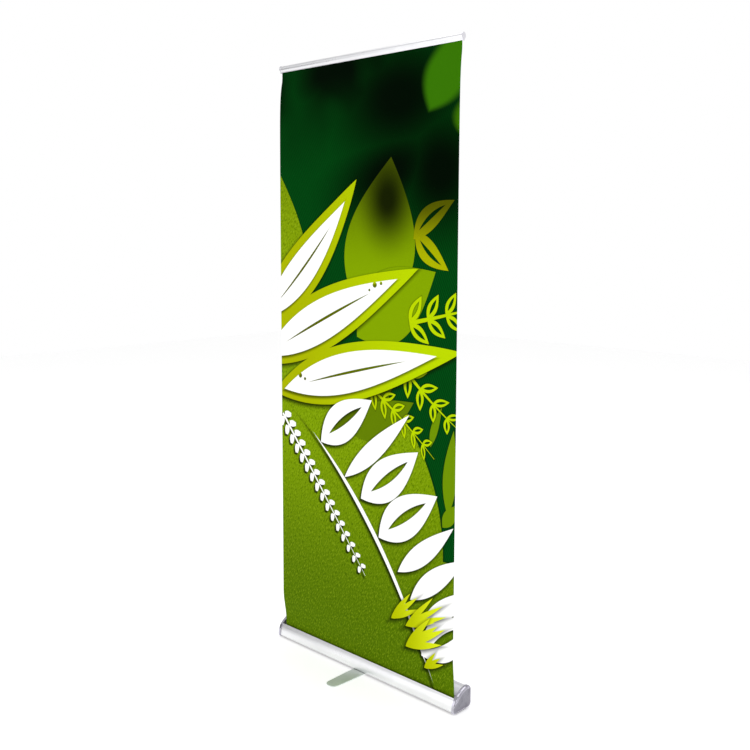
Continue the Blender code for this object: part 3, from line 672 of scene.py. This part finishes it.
artwork = {
    "lineTurn": 24,  # degrees that the fine lines lean
    "lineScale": 40.0,
    "lineWobble": 1.2,
    "gloom": (  # dark blurred patches: centre, half size, turn
        ((0.16, 1.90), (0.46, 0.34), 0),
        ((0.12, 1.66), (0.42, 0.22), 20),
        ((0.33, 1.66), (0.30, 0.34), 0),
        ((-0.18, 2.02), (0.26, 0.20), 10),
    ),
    "hillFoot": 0.95,
    "leafShade": ((0.115, 1.575), (0.16, 0.22)),
    "sprigSlit": 0.34,
    "vineSlit": -9.0,  # far below nothing, so its leaves have no slit
    "heartReach": 0.55,  # a tuft's short wide middle, as a share of its blades
    "heartWidth": 1.3,
    "tuftFade": 0.15,
    "spread": (1.045, 1.0, 0.030),  # middle height, distance to each end, rise of the middle
    "shadowShift": (0.006, 0.008, 0),  # where a point looks for the shape that shades it
    "limeRim": 0.030,  # lime card that shows round the large white leaves
    "blurredLeaves": (
        (((0.285, 1.845), (0.415, 2.105), 0.078, -0.10), "357004", 0.020),
        (((0.410, 1.760), (0.440, 1.885), 0.036, 0.10), "3A7000", 0.020),
    ),
    "hill": ((-0.36, 1.02), (-0.43, 1.72), 0.135),
    "backLeaves": (
        ((0.01, 1.18), (0.13, 1.71), 0.150, -0.10),
        ((-0.02, 1.12), (0.315, 1.345), 0.115, 0.10),
    ),
    "curledLeaves": (
        ((0.225, 1.445), (0.385, 1.565), 0.036, 0.45, 0.20),
        ((0.232, 1.470), (0.365, 1.350), 0.034, -0.35, 0.20),
    ),
    "fan": (
        ((-0.500, 1.150), (-0.078, 1.572), 0.060, -0.30, 0.07),
        ((-0.490, 1.015), (0.158, 1.318), 0.070, 0.12, 0.07),
        ((-0.385, 0.905), (0.322, 1.085), 0.066, 0.12, 0.07),
    ),
    "dew": (
        (0.060, 1.296, 0.0095),
        (0.088, 1.302, 0.0060),
        (0.036, 1.278, 0.0045),
        (-0.300, 0.962, 0.0090),
        (-0.276, 0.952, 0.0055),
    ),
    "grassHill": (-0.250, 0.460, 0.605),  # centre and radius
    "grassLevel": 0.455,
    "midLeaves": (
        ((-0.160, 0.800), (0.175, 1.030), 0.085, 0.10),
        ((-0.060, 0.800), (0.230, 0.930), 0.060, -0.15),
    ),
    "edgeLeaves": (
        ((0.372, 0.600), (0.392, 0.865), 0.026, 0.10),
        ((0.352, 0.560), (0.410, 0.640), 0.022, 0.0),
        ((0.300, 0.800), (0.345, 0.930), 0.014, 0.30),
    ),
    "sprigs": (
        ((0.005, 0.978), -28.0, 0.375, 0.052, 0.036, 0.0150, -0.30),
        ((0.210, 1.180), 12.0, 0.300, 0.075, 0.050, 0.0210, 0.10),
        ((0.205, 1.020), -42.0, 0.260, 0.066, 0.040, 0.0165, 0.40),
    ),
    "branch": (
        ((-0.195, 0.742), (0.048, 0.915), 0.064, 0.10, 0.20),
        ((-0.078, 0.640), (0.212, 0.888), 0.032, -0.10),
        ((0.000, 0.582), (0.250, 0.776), 0.064, -0.08, 0.22),
        ((0.082, 0.470), (0.330, 0.652), 0.064, 0.08, 0.22),
        ((0.168, 0.378), (0.395, 0.566), 0.032, -0.10),
        ((0.222, 0.302), (0.440, 0.478), 0.033, 0.10),
        ((0.268, 0.232), (0.470, 0.392), 0.030, 0.0),
        ((0.270, 0.138), (0.480, 0.300), 0.062, 0.08, 0.22),
        ((-0.235, 0.770), (0.310, 0.070), 0.0080, 6.6),
    ),
    "vine": ((-0.395, 0.815), -49.5, 0.640, 0.0400, 0.0270, 0.0115, 0.0),
    "tufts": (  # foot of the tuft, tips of its blades, half width of a blade
        ((0.140, 0.221), ((0.222, 0.322), (0.254, 0.318), (0.262, 0.282)), 0.0088),
        ((0.203, 0.214), ((0.316, 0.332), (0.358, 0.318), (0.372, 0.288), (0.326, 0.258)), 0.0090),
        ((0.203, 0.148), ((0.306, 0.266), (0.338, 0.250), (0.368, 0.248), (0.354, 0.196)), 0.0112),
        ((0.279, 0.101), ((0.330, 0.166), (0.350, 0.154), (0.360, 0.136)), 0.0070),
    ),
}


def tiled(tree, point, angle, cell):
    # Turns the plane by angle, then counts it in cells of the given length and width
    values = {"Vector": point, "Rotation": (0, 0, math.radians(angle)), "Scale": (*cell, 1)}
    return addNode(tree, "ShaderNodeMapping", values, vector_type="TEXTURE").outputs[0]


def darkGround(tree, point, height):
    # Deep green ground that darkens upwards, with fine slanted lines and blurred shapes on it
    lineWave = addNode(
        tree,
        "ShaderNodeTexWave",
        {
            "Vector": tiled(tree, point, artwork["lineTurn"], (1, 1)),
            "Scale": artwork["lineScale"],
            "Distortion": artwork["lineWobble"],
            "Detail": 1.0,
        },
        bands_direction="X",
    ).outputs[1]
    green = mixColours(tree, fade(tree, height, 0.9, 1.95), ink("004C12"), ink("00460E"))
    green = mixColours(tree, times(tree, lineWave, 0.85), green, ink("00300A"))
    blur = noise(tree, stretch(tree, point, (1, 0.8, 1)), 4.2, 1.0)
    gloom = fade(tree, height, 1.62, 2.02)
    gloom = times(tree, gloom, fade(tree, blur, 0.36, 0.62, 0.35, 1.0))
    for centre, size, turn in artwork["gloom"]:
        gloom = most(tree, gloom, glow(tree, point, centre, size, turn))
    ground = mixColours(tree, gloom, green, ink("000A01"))
    for shape, tint, blur in artwork["blurredLeaves"]:
        soft = fade(tree, leaf(tree, point, *shape), -blur, blur)
        ground = mixColours(tree, soft, ground, ink(tint))
    return ground


def feltGreen(tree, point, height, low, high):
    # Felt-like green: short slanted fibres over a soft gradient that brightens upwards
    fibres = noise(tree, tiled(tree, point, 58, (0.0110, 0.0046)), 1.0, 3.0, 0.65)
    soft = mixColours(tree, fade(tree, height, 0.15, 0.85), ink(low), ink(high))
    dark = mixColours(tree, fade(tree, fibres, 0.26, 0.52), ink("3F5C00"), soft)
    return mixColours(tree, fade(tree, fibres, 0.50, 0.80, 0.0, 0.60), dark, ink("A6BE2A"))


def printColours(tree, point):
    # The whole print, layer over layer from the back
    parts = addNode(tree, "ShaderNodeSeparateXYZ", {0: point}).outputs
    across, height = parts[0], parts[1]
    shaded = shift(tree, point, artwork["shadowShift"])

    colour = darkGround(tree, point, height)
    hill = leaf(tree, point, *artwork["hill"])
    felt = feltGreen(tree, point, minus(tree, height, artwork["hillFoot"]), "87A404", "748F02")
    colour = lay(tree, colour, hill, felt, reach=0.006, depth=0.5)

    for i, shape in enumerate(artwork["backLeaves"]):
        inside = leaf(tree, point, *shape)
        olive = mixColours(tree, fade(tree, height, 1.30, 1.72), ink("7FA000"), ink("4C5C00"))
        if i == 0:
            dim = glow(tree, point, *artwork["leafShade"])
            olive = mixColours(tree, dim, olive, ink("141C00"))
        colour = lay(tree, colour, inside, olive, reach=0.005, depth=0.5)
    curled = leaves(tree, point, artwork["curledLeaves"])
    gold = mixColours(tree, fade(tree, height, 1.38, 1.56), ink("A6AC00"), ink("4E5200"))
    colour = lay(tree, colour, curled, gold, reach=0.004, depth=0.4)

    edgeLeaf = leaves(tree, point, artwork["edgeLeaves"])
    colour = lay(tree, colour, edgeLeaf, ink("6C8E04"), reach=0.008, depth=0.6)
    x, y, radius = artwork["grassHill"]
    grass = disc(tree, point, (x, y), radius)
    grass = most(tree, grass, minus(tree, artwork["grassLevel"], height))
    felt = feltGreen(tree, point, height, "557402", "7C9C03")
    colour = lay(tree, colour, grass, felt, reach=0.012, depth=0.7)
    for shape, tint in zip(artwork["midLeaves"], ("566D00", "607C02")):
        inside = leaf(tree, point, *shape)
        colour = lay(tree, colour, inside, ink(tint), reach=0.008, depth=0.6)

    lime = mixColours(tree, fade(tree, across, -0.35, 0.30), ink("A6B000"), ink("B6D200"))
    wholeFan = [shape[:4] for shape in artwork["fan"]]
    fanInside = leaves(tree, point, wholeFan)
    fanShade = leaves(tree, shaded, wholeFan)
    rim = plus(tree, fanInside, artwork["limeRim"])
    rimShade = plus(tree, fanShade, artwork["limeRim"])
    for shape in artwork["sprigs"]:
        inside = sprig(tree, point, shape, artwork["sprigSlit"])
        colour = lay(tree, colour, inside, lime, reach=0.006, depth=0.75)
    colour = lay(tree, colour, rim, lime, rimShade, reach=0.016, depth=0.9)

    white = ink("FEFEFD")
    fanCut = leaves(tree, point, artwork["fan"])
    for dewX, dewY, dewRadius in artwork["dew"]:
        hole = disc(tree, point, (dewX, dewY), dewRadius)
        fanCut = least(tree, fanCut, times(tree, hole, -1.0))
    colour = lay(tree, colour, fanCut, white, fanShade, reach=0.009, depth=0.75)

    branch = leaves(tree, point, artwork["branch"])
    branchShade = leaves(tree, shaded, artwork["branch"])
    colour = lay(tree, colour, branch, white, branchShade, reach=0.012, depth=0.9)

    vine = sprig(tree, point, artwork["vine"], artwork["vineSlit"])
    vineShade = sprig(tree, shaded, artwork["vine"], artwork["vineSlit"])
    colour = lay(tree, colour, vine, white, vineShade, reach=0.008, depth=0.9)

    for base, tips, halfWidth in artwork["tufts"]:
        blades = [(base, tip, halfWidth, 0.0) for tip in tips]
        centre = sum((Vector(tip) for tip in tips), Vector((0, 0))) / len(tips)
        heart = Vector(base).lerp(centre, artwork["heartReach"])
        blades.append((base, tuple(heart), halfWidth * artwork["heartWidth"], 0.0))
        tuft = leaves(tree, point, blades)
        tuftShade = leaves(tree, shaded, blades)
        outer = fade(tree, across, base[0], base[0] + artwork["tuftFade"])
        yellow = mixColours(tree, outer, ink("B4BE00"), ink("DCE81C"))
        colour = lay(tree, colour, tuft, yellow, tuftShade, reach=0.014, depth=0.85)
    return colour


def printedFilm():
    # Front of the film: the print, matt, with the film's fine tooth
    material, tree, shader = newMaterial("printedFilm")
    parts = addNode(tree, "ShaderNodeSeparateXYZ", {0: objectPoint(tree)}).outputs
    middle, reach, rise = artwork["spread"]
    share = over(tree, minus(tree, parts[2], middle), reach)
    bow = minus(tree, 1.0, times(tree, share, share))
    height = minus(tree, parts[2], times(tree, bow, rise))
    plane = addNode(tree, "ShaderNodeCombineXYZ", {0: parts[0], 1: height}).outputs[0]
    tree.links.new(printColours(tree, plane), shader.inputs["Base Color"])
    finishMatt(tree, shader, plane)
    return material


def finishMatt(tree, shader, point):
    tooth = place(tree, "fineGrain", {"Point": point, "Grain Size": 0.0005})
    dull = plus(tree, 0.52, times(tree, tooth["Value"], 0.16))
    tree.links.new(dull, shader.inputs["Roughness"])
    shader.inputs["Specular IOR Level"].default_value = 0.01
    bumpInto(tree, shader, tooth["Height"], 0.00002)


def filmBack():
    # Light grey back of the film, with faint marks across it from being rolled
    material, tree, shader = newMaterial("filmBack")
    point = objectPoint(tree)
    roll = noise(tree, stretch(tree, point, (0.4, 1, 26)), 1.0, 3.0, 0.6)
    smudge = place(tree, "handling", {"Point": point, "Patch Size": 0.25})["Mask"]
    tone = mixColours(tree, fade(tree, roll, 0.35, 0.65), ink("DEDFE0"), ink("E8E9EA"))
    tone = mixColours(tree, times(tree, smudge, 0.3), tone, ink("D6D8DA"))
    tree.links.new(tone, shader.inputs["Base Color"])
    finishMatt(tree, shader, point)
    return material


def makeFinishes():
    for makeGroup in (
        makeFineGrain,
        makeDrawLines,
        makeHandling,
        makeScratches,
        makeLeafShape,
        makeSprigShape,
        makePaperLayer,
    ):
        makeGroup()
    return {
        "anodisedAlongX": anodised("anodisedAlongX", "X"),
        "anodisedAlongZ": anodised("anodisedAlongZ", "Z"),
        # The cassette's skin has painted shade along its bottom edge, next to the floor.
        "cassetteSkin": anodised("cassetteSkin", "X", cassette["bottom"] + 0.0026),
        "platedPlastic": platedPlastic("platedPlastic", "C2C0CB", "AFADB8"),
        "platedBright": platedPlastic("platedBright", "EDECF1", "DEDDE4"),
        "footCoat": footCoat(),
        "zincPlate": zincPlate(),
        "blackPlastic": moulded("blackPlastic", "121213", "1E1E20", 0.52, 0.0007),
        "whiteNylon": moulded("whiteNylon", "DAD8D0", "E6E4DD", 0.48, 0.0010),
        "blackRubber": moulded("blackRubber", "161616", "232323", 0.86, 0.0005, 0.3),
        "printedFilm": printedFilm(),
        "filmBack": filmBack(),
    }


# Pieces


def addPiece(name, bm, materials, body, nodes, sharpAngle=35):
    bmesh.ops.remove_doubles(bm, verts=bm.verts, dist=1e-6)
    mesh = bpy.data.meshes.new(name)
    bm.to_mesh(mesh)
    bm.free()
    for material in materials:
        mesh.materials.append(finishes[material])
    mesh.shade_smooth()
    mesh.set_sharp_from_angle(angle=math.radians(sharpAngle))
    piece = bpy.data.objects.new(name, mesh)
    bpy.context.scene.collection.objects.link(piece)
    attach(piece, body)
    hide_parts(*nodes)
    return piece


def softenEdges(piece, width):
    soften = piece.modifiers.new("softEdges", "BEVEL")
    soften.width = width
    soften.segments = 2
    soften.limit_method = "ANGLE"
    soften.angle_limit = math.radians(40)
    soften.harden_normals = True


def cleanCopy(node):
    # The node's own shape with its loose triangles merged into whole faces
    bm = bmesh.new()
    bm.from_mesh(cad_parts[node].data)
    bmesh.ops.remove_doubles(bm, verts=bm.verts, dist=1e-6)
    bmesh.ops.dissolve_limit(
        bm,
        angle_limit=math.radians(0.5),
        verts=bm.verts,
        edges=bm.edges,
        use_dissolve_boundaries=False,
    )
    return bm


def quarterCurve(start, first, second, end, steps):
    knots = [Vector((*point, 0)) for point in (start, first, second, end)]
    return [tuple(point[:2]) for point in interpolate_bezier(*knots, steps + 1)]


def outwards(points, distance):
    # The closed outline moved out by distance, with mitred corners; points run anticlockwise
    moved = []
    for i, point in enumerate(points):
        here = Vector(point)
        before = (here - Vector(points[i - 1])).normalized().orthogonal()
        after = (Vector(points[(i + 1) % len(points)]) - here).normalized().orthogonal()
        middle = (before + after).normalized()
        moved.append(tuple(here - middle * distance / max(0.5, middle.dot(before))))
    return moved


finishes = makeFinishes()
print("finishes:", len(finishes))
addCamera()
addStudio()


# Film: the print hangs from the rail, swells a little forwards and goes down into the slot

film = {
    "thickness": 0.0005,
    "swell": 0.0105,  # forwards, in the middle of its height
    "swellLean": 0.0025,  # more on the left edge, less on the right
    "railGrip": 0.027,  # how far below the rail's lips it still hangs straight
    "railReach": 0.05,  # over which it leaves the rail
    "slotReach": 0.12,  # over which it comes back to the slot
    "slotDepth": 0.012,  # how far below the shell's top it reaches the slot
    "ripple": 0.0007,
    "rippleAcross": 3.1,
    "rippleSlant": 1.7,
    "rippleUp": 2.3,
    "rippleStart": 0.6,
    "columns": 26,
    "rows": 150,
}


def easedStep(value):
    value = min(1.0, max(0.0, value))
    return value * value * (3 - 2 * value)


def addFilm():
    low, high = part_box("banner_sheet")
    width, length = high.x - low.x, high.z - low.z
    middle = (low + high) / 2
    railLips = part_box("rail_rear_jaw")[0].z
    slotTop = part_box("base_housing")[1].z - film["slotDepth"]
    bm = bmesh.new()
    bmesh.ops.create_grid(bm, x_segments=film["columns"], y_segments=film["rows"], size=0.5)
    for vert in bm.verts:
        share, height = vert.co.x * 2, low.z + (vert.co.y + 0.5) * length
        rise = 1 - math.exp(-max(0, railLips - film["railGrip"] - height) / film["railReach"])
        rise *= easedStep((height - slotTop) / film["slotReach"])
        slant = math.sin(film["rippleAcross"] * share + film["rippleSlant"] * height)
        wave = film["ripple"] * slant * math.sin(film["rippleUp"] * height + film["rippleStart"])
        forward = rise * (film["swell"] - film["swellLean"] * share + wave)
        front = middle.y - film["thickness"] / 2
        vert.co = (vert.co.x * width + middle.x, front - forward, height)
    bmesh.ops.recalc_face_normals(bm, faces=bm.faces)
    if next(iter(bm.faces)).normal.y > 0:
        bmesh.ops.reverse_faces(bm, faces=bm.faces)
    bmesh.ops.solidify(bm, geom=bm.faces[:], thickness=film["thickness"])
    bm.normal_update()
    for face in bm.faces:
        face.material_index = 0 if face.normal.y < -0.5 else 1
    sheet = addPiece(
        "printed_banner",
        bm,
        ["printedFilm", "filmBack"],
        "top_rail",
        ["banner_sheet"],
        60,
    )
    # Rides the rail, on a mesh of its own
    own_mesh(sheet)


# Base: end caps drawn round the cassette's own outline, the rest from the frame's shapes

endCap = {
    "proud": 0.0026,
    "wall": 0.0022,
    "rimEnd": 0.4155,
    "shoulder": (0.4192, 0.962),  # where along X, and the outline's size there
    "face": (0.4225, 0.780),
    "rounding": 0.0016,
    "shrinkMiddle": (0, 0.001, -0.038),  # moves the point that the outline shrinks towards to zero
    "pegSink": 0.002,
    "pegOverlap": 0.0004,
    "pegRadius": 0.0020,
    "pegs": ((-0.0245, 0.0160), (0.0185, 0.0620)),
}


def capOutline():
    low, top = cassette["bottom"], cassette["top"]
    front, back = cassette["front"], cassette["back"]
    radius = cassette["cornerRadius"]
    lip = cassette["frontLip"]
    heelStart, heelBend, heelRise, heelEnd = cassette["heel"]
    humpStart, humpRise, humpBend, humpEnd = cassette["hump"]
    dipBend, dipHandle = cassette["dip"]
    shoulder = (humpEnd, top)
    points = quarterCurve(lip, *cassette["frontHandles"], (front, cassette["frontFoot"]), 16)
    for i in range(1, 7):
        angle = math.radians(180 + 15 * i)
        y = front + radius + radius * math.cos(angle)
        points.append((y, low + radius + radius * math.sin(angle)))
    points += quarterCurve((heelStart, low), (heelBend, low), (back, heelRise), (back, heelEnd), 10)
    points += quarterCurve((back, humpStart), (back, humpRise), (humpBend, top), shoulder, 12)
    points += quarterCurve(shoulder, (dipBend, top), dipHandle, lip, 18)[1:-1]
    return points


def addEndCap(side, label):
    outline = outwards(capOutline(), endCap["proud"])
    low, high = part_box(f"end_cap_{label}")
    start = side * min(abs(low.x), abs(high.x))
    middle = Matrix.Translation(endCap["shrinkMiddle"])
    bm = bmesh.new()
    ring = [bm.verts.new((start, y, z)) for y, z in outline]
    edges = [bm.edges.new((ring[i - 1], ring[i])) for i in range(len(ring))]
    stations = [(endCap["rimEnd"], 1.0), endCap["shoulder"], endCap["face"]]
    rings = []
    shrunk = 1.0
    for x, size in stations:
        drawn = bmesh.ops.extrude_edge_only(bm, edges=edges)["geom"]
        verts = [v for v in drawn if isinstance(v, bmesh.types.BMVert)]
        drawnEdges = [e for e in drawn if isinstance(e, bmesh.types.BMEdge)]
        edges = [e for e in drawnEdges if all(v in verts for v in e.verts)]
        bmesh.ops.translate(bm, verts=verts, vec=(side * x - verts[0].co.x, 0, 0))
        bmesh.ops.scale(bm, verts=verts, vec=(1, size / shrunk, size / shrunk), space=middle)
        shrunk = size
        rings.append(edges)
    bmesh.ops.contextual_create(bm, geom=edges)
    rounded = [e for edgesOfRing in rings for e in edgesOfRing]
    bmesh.ops.bevel(
        bm,
        geom=rounded,
        offset=endCap["rounding"],
        segments=3,
        profile=0.5,
        affect="EDGES",
        material=-1,
        clamp_overlap=True,
    )
    bmesh.ops.recalc_face_normals(bm, faces=bm.faces)
    outermost = max(bm.faces, key=lambda f: side * f.calc_center_median().x)
    if outermost.normal.x * side < 0:
        bmesh.ops.reverse_faces(bm, faces=bm.faces)
    bmesh.ops.solidify(bm, geom=bm.faces[:], thickness=endCap["wall"])
    turned = Matrix.Rotation(math.radians(90), 4, "Y")
    pegStart = abs(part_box("end_plate_right")[0].x) - endCap["pegSink"]
    pegEnd = endCap["face"][0] - endCap["wall"] + endCap["pegOverlap"]
    for y, z in endCap["pegs"]:
        at = Matrix.Translation((side * (pegStart + pegEnd) / 2, y, z))
        bmesh.ops.create_cone(
            bm,
            cap_ends=True,
            segments=20,
            radius1=endCap["pegRadius"],
            radius2=endCap["pegRadius"],
            depth=pegEnd - pegStart,
            matrix=at @ turned,
        )
    node = f"end_cap_{label}"
    addPiece(f"cap_{label}", bm, ["platedPlastic"], "base", [node], 30)


footBlade = {
    "halfLength": 0.182,
    "bottom": 0.0012,
    "top": 0.0055,
    "edgeRounding": 0.0016,
    "waist": ((0.0265, 0.0), (0.0262, 0.050), (0.0228, 0.154)),  # half width at a distance out
    "middleHandles": ((0.0265, 0.020), (0.0263, 0.035)),
    "flankHandles": ((0.0260, 0.085), (0.0240, 0.120)),
    "tipHandles": ((0.0218, 0.171), (0.0190, 0.182)),
}


def addFoot():
    widest, flank, neck = footBlade["waist"]
    quarter = quarterCurve(widest, *footBlade["middleHandles"], flank, 4)
    quarter += quarterCurve(flank, *footBlade["flankHandles"], neck, 6)[1:]
    quarter += quarterCurve(neck, *footBlade["tipHandles"], (0.0, footBlade["halfLength"]), 14)[1:]
    half = quarter + [(-x, y) for x, y in reversed(quarter[1:-1])]
    outline = half + [(-x, -y) for x, y in half]
    bm = bmesh.new()
    face = bm.faces.new([bm.verts.new((x, y, footBlade["bottom"])) for x, y in outline])
    bmesh.ops.recalc_face_normals(bm, faces=[face])
    raised = bmesh.ops.extrude_face_region(bm, geom=[face])["geom"]
    verts = [v for v in raised if isinstance(v, bmesh.types.BMVert)]
    bmesh.ops.translate(bm, verts=verts, vec=(0, 0, footBlade["top"] - footBlade["bottom"]))
    bmesh.ops.recalc_face_normals(bm, faces=bm.faces)
    rims = [e for e in bm.edges if e.is_manifold and e.calc_face_angle() > math.radians(60)]
    bmesh.ops.bevel(
        bm,
        geom=rims,
        offset=footBlade["edgeRounding"],
        segments=4,
        profile=0.5,
        affect="EDGES",
        material=-1,
        clamp_overlap=True,
    )
    addPiece("foot_blade", bm, ["footCoat"], "foot", ["foot_plate"], 40)


# Pieces that keep the frame's shape: node, new name and finish, then the width of rounded edges

carriedOver = {
    "base": (
        ("base_housing", "cassette_shell", "cassetteSkin"),
        ("end_plate_left", "side_plate_left", "zincPlate"),
        ("end_plate_right", "side_plate_right", "zincPlate"),
        ("base_pad_left", "rubber_strip_left", "blackRubber"),
        ("base_pad_right", "rubber_strip_right", "blackRubber"),
        ("pole_socket", "socket_tube", "zincPlate"),
        ("axle_bush_left", "bush_left", "blackPlastic"),
        ("axle_bush_right", "bush_right", "blackPlastic"),
        ("spring_arbor", "arbor_rod", "zincPlate"),
        ("torsion_spring", "coil_spring", "zincPlate"),
        ("pivot_bolt", "swivel_bolt", "zincPlate"),
        ("pivot_washer", "swivel_washer", "zincPlate"),
        ("pivot_nut", "swivel_nut", "zincPlate"),
        ("pole_lower", "pole_tube_lower", "anodisedAlongZ"),
        ("pole_collar_lower", "collar_lower", "blackPlastic"),
    ),
    "foot": (
        ("foot_pad_front", "foot_button_front", "blackRubber"),
        ("foot_pad_back", "foot_button_back", "blackRubber"),
    ),
    "roller": (
        ("roller_tube", "roller", "anodisedAlongX"),
        ("roller_plug_left", "plug_left", "whiteNylon"),
        ("roller_plug_right", "plug_right", "whiteNylon"),
        ("spring_anchor", "spring_block", "whiteNylon"),
        ("banner_roll", "rolled_film", "filmBack"),
    ),
    "pole_middle_section": (
        ("pole_middle", "pole_tube_middle", "anodisedAlongZ"),
        ("pole_collar_upper", "collar_upper", "blackPlastic"),
    ),
    "pole_upper_section": (
        ("pole_upper", "pole_tube_upper", "anodisedAlongZ"),
        ("pole_head", "pole_hook", "blackPlastic"),
    ),
    "top_rail": (
        ("rail_rear_jaw", "rail_back", "anodisedAlongX"),
        ("rail_cap_left", "rail_end_left", "platedBright"),
        ("rail_cap_right", "rail_end_right", "platedBright"),
        ("rail_bracket", "rail_clip", "blackPlastic"),
    ),
    "front_jaw": (("rail_front_jaw", "rail_front", "anodisedAlongX"),),
}

softened = {"pivot_nut": 0.0003, "pole_head": 0.0004, "rail_bracket": 0.0004}


def addCarriedOver():
    for side in ("left", "right"):
        for i in (1, 2, 3):
            node = f"end_screw_{side}_{i}"
            shape = cleanCopy(node)
            addPiece(f"screw_{side}_{i}", shape, ["zincPlate"], "base", [node])
    for body, rows in carriedOver.items():
        for node, name, finish in rows:
            piece = addPiece(name, cleanCopy(node), [finish], body, [node])
            if node in softened:
                softenEdges(piece, softened[node])


addFilm()
print("film: done")
for capSide, capLabel in ((-1, "left"), (1, "right")):
    addEndCap(capSide, capLabel)
print("end caps: done")
addFoot()
print("foot: done")
addCarriedOver()
print("carried over: done")
